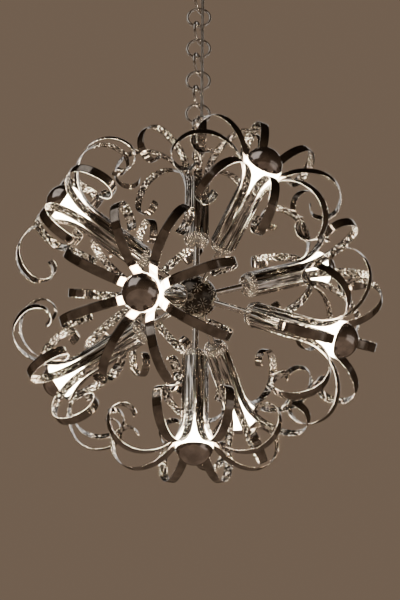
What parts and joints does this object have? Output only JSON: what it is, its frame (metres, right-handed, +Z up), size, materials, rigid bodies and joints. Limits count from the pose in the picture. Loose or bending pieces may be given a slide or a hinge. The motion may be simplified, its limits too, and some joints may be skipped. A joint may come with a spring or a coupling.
{
  "type": "multi arm chandelier",
  "caption": "Hanging chandelier of curled chrome strips round silver-crown lamps on arms that radiate from a ball hub, on a ring chain with a ceiling canopy.",
  "frame": {"origin": "centre of the ceiling bracket's top face, on the ceiling plane, midway between its two screw holes", "axes": "+Z straight up along the chain and stem, so the object hangs towards -Z; the upper ring's arms lie over the X and Y axes"},
  "size_m": [0.6208, 0.6208, 1.0895],
  "materials": {
    "polished_chrome": "mirror-polished chrome plate",
    "hammered_chrome": "chrome plate, hammered on the outer face and smooth on the lamp face",
    "dark_chrome": "dark chrome with relief ornament",
    "zinc_steel": "zinc-plated pressed steel",
    "brass": "turned brass",
    "porcelain": "unglazed white porcelain",
    "lamp_glass": "clear glass with a silvered crown",
    "aluminium_cap": "rolled screw cap",
    "clear_cord": "translucent grey flexible lead",
    "white_plastic": "moulded",
    "black_plastic": "moulded"
  },
  "bodies": {
    "ceiling_mount": {"ceiling_bracket": "zinc_steel", "hook_nuts": "zinc_steel", "ceiling_hook": "polished_chrome", "canopy_cup": "polished_chrome", "canopy_nut": "polished_chrome", "canopy_bush": "black_plastic", "terminal_block": "white_plastic", "supply_lead": "clear_cord"},
    "chain_link_01": {"chain_link_01": "polished_chrome"},
    "chain_link_02": {"chain_link_02": "polished_chrome"},
    "chain_link_03": {"chain_link_03": "polished_chrome"},
    "chain_link_04": {"chain_link_04": "polished_chrome"},
    "chain_link_05": {"chain_link_05": "polished_chrome"},
    "chain_link_06": {"chain_link_06": "polished_chrome"},
    "chain_link_07": {"chain_link_07": "polished_chrome"},
    "chain_link_08": {"chain_link_08": "polished_chrome"},
    "chain_link_09": {"chain_link_09": "polished_chrome"},
    "chain_link_10": {"chain_link_10": "polished_chrome"},
    "chandelier": {"stem_loop": "polished_chrome", "loop_screw": "polished_chrome", "inlet_collar": "polished_chrome", "hub_upper_shell": "dark_chrome", "hub_lower_shell": "dark_chrome", "wire_junction": "white_plastic", "stem_tube": "polished_chrome", "lamp_arms": "polished_chrome", "arm_nuts": "brass", "arm_wires": "white_plastic", "strips_upper_1": "hammered_chrome", "strips_upper_2": "hammered_chrome", "strips_upper_3": "hammered_chrome", "strips_upper_4": "hammered_chrome", "strips_lower_1": "hammered_chrome", "strips_lower_2": "hammered_chrome", "strips_lower_3": "hammered_chrome", "strips_lower_4": "hammered_chrome", "strips_top": "hammered_chrome", "strips_bottom": "hammered_chrome", "base_caps": "dark_chrome", "strip_carriers": "zinc_steel", "lampholders": "porcelain"},
    "lamp_upper_1": {"lamp_upper_1_bulb": "lamp_glass", "lamp_upper_1_cap": "aluminium_cap"},
    "lamp_upper_2": {"lamp_upper_2_bulb": "lamp_glass", "lamp_upper_2_cap": "aluminium_cap"},
    "lamp_upper_3": {"lamp_upper_3_bulb": "lamp_glass", "lamp_upper_3_cap": "aluminium_cap"},
    "lamp_upper_4": {"lamp_upper_4_bulb": "lamp_glass", "lamp_upper_4_cap": "aluminium_cap"},
    "lamp_lower_1": {"lamp_lower_1_bulb": "lamp_glass", "lamp_lower_1_cap": "aluminium_cap"},
    "lamp_lower_2": {"lamp_lower_2_bulb": "lamp_glass", "lamp_lower_2_cap": "aluminium_cap"},
    "lamp_lower_3": {"lamp_lower_3_bulb": "lamp_glass", "lamp_lower_3_cap": "aluminium_cap"},
    "lamp_lower_4": {"lamp_lower_4_bulb": "lamp_glass", "lamp_lower_4_cap": "aluminium_cap"},
    "lamp_bottom": {"lamp_bottom_bulb": "lamp_glass", "lamp_bottom_cap": "aluminium_cap"}
  },
  "joints": [
    {"name": "hook_to_link_01", "type": "hinge", "parent": "ceiling_mount", "child": "chain_link_01", "pos_m": [0, 0, -0.094], "axis": [0.7373, 0.6756, 0], "range_deg": [-8, 8], "deforming": ["supply_lead"]},
    {"name": "link_01_to_02", "type": "hinge", "parent": "chain_link_01", "child": "chain_link_02", "pos_m": [0, 0, -0.1308], "axis": [0.9026, -0.4305, 0], "range_deg": [-8, 8], "deforming": ["supply_lead"]},
    {"name": "link_02_to_03", "type": "hinge", "parent": "chain_link_02", "child": "chain_link_03", "pos_m": [0, 0, -0.1683], "axis": [0.7373, 0.6756, 0], "range_deg": [-8, 8], "deforming": ["supply_lead"]},
    {"name": "link_03_to_04", "type": "hinge", "parent": "chain_link_03", "child": "chain_link_04", "pos_m": [0, 0, -0.2058], "axis": [0.9026, -0.4305, 0], "range_deg": [-8, 8], "deforming": ["supply_lead"]},
    {"name": "link_04_to_05", "type": "hinge", "parent": "chain_link_04", "child": "chain_link_05", "pos_m": [0, 0, -0.2433], "axis": [0.7373, 0.6756, 0], "range_deg": [-8, 8], "deforming": ["supply_lead"]},
    {"name": "link_05_to_06", "type": "hinge", "parent": "chain_link_05", "child": "chain_link_06", "pos_m": [0, 0, -0.2808], "axis": [0.9026, -0.4305, 0], "range_deg": [-8, 8], "deforming": ["supply_lead"]},
    {"name": "link_06_to_07", "type": "hinge", "parent": "chain_link_06", "child": "chain_link_07", "pos_m": [0, 0, -0.3183], "axis": [0.7373, 0.6756, 0], "range_deg": [-8, 8], "deforming": ["supply_lead"]},
    {"name": "link_07_to_08", "type": "hinge", "parent": "chain_link_07", "child": "chain_link_08", "pos_m": [0, 0, -0.3558], "axis": [0.9026, -0.4305, 0], "range_deg": [-8, 8], "deforming": ["supply_lead"]},
    {"name": "link_08_to_09", "type": "hinge", "parent": "chain_link_08", "child": "chain_link_09", "pos_m": [0, 0, -0.3933], "axis": [0.7373, 0.6756, 0], "range_deg": [-8, 8], "deforming": ["supply_lead"]},
    {"name": "link_09_to_10", "type": "hinge", "parent": "chain_link_09", "child": "chain_link_10", "pos_m": [0, 0, -0.4308], "axis": [0.9026, -0.4305, 0], "range_deg": [-8, 8], "deforming": ["supply_lead"]},
    {"name": "link_10_to_loop", "type": "hinge", "parent": "chain_link_10", "child": "chandelier", "pos_m": [0, 0, -0.4683], "axis": [0.7373, 0.6756, 0], "range_deg": [-8, 8], "deforming": ["supply_lead"]},
    {"name": "lamp_upper_1_draw", "type": "slide", "parent": "chandelier", "child": "lamp_upper_1", "axis": [0, -0.8988, 0.4384], "range_m": [0, 0.11]},
    {"name": "lamp_upper_2_draw", "type": "slide", "parent": "chandelier", "child": "lamp_upper_2", "axis": [0.8988, 0, 0.4384], "range_m": [0, 0.11]},
    {"name": "lamp_upper_3_draw", "type": "slide", "parent": "chandelier", "child": "lamp_upper_3", "axis": [0, 0.8988, 0.4384], "range_m": [0, 0.11]},
    {"name": "lamp_upper_4_draw", "type": "slide", "parent": "chandelier", "child": "lamp_upper_4", "axis": [-0.8988, 0, 0.4384], "range_m": [0, 0.11]},
    {"name": "lamp_lower_1_draw", "type": "slide", "parent": "chandelier", "child": "lamp_lower_1", "axis": [0.6355, -0.6355, -0.4384], "range_m": [0, 0.11]},
    {"name": "lamp_lower_2_draw", "type": "slide", "parent": "chandelier", "child": "lamp_lower_2", "axis": [0.6355, 0.6355, -0.4384], "range_m": [0, 0.11]},
    {"name": "lamp_lower_3_draw", "type": "slide", "parent": "chandelier", "child": "lamp_lower_3", "axis": [-0.6355, 0.6355, -0.4384], "range_m": [0, 0.11]},
    {"name": "lamp_lower_4_draw", "type": "slide", "parent": "chandelier", "child": "lamp_lower_4", "axis": [-0.6355, -0.6355, -0.4384], "range_m": [0, 0.11]},
    {"name": "lamp_bottom_draw", "type": "slide", "parent": "chandelier", "child": "lamp_bottom", "axis": [0, 0, -1], "range_m": [0, 0.11]}
  ]
}
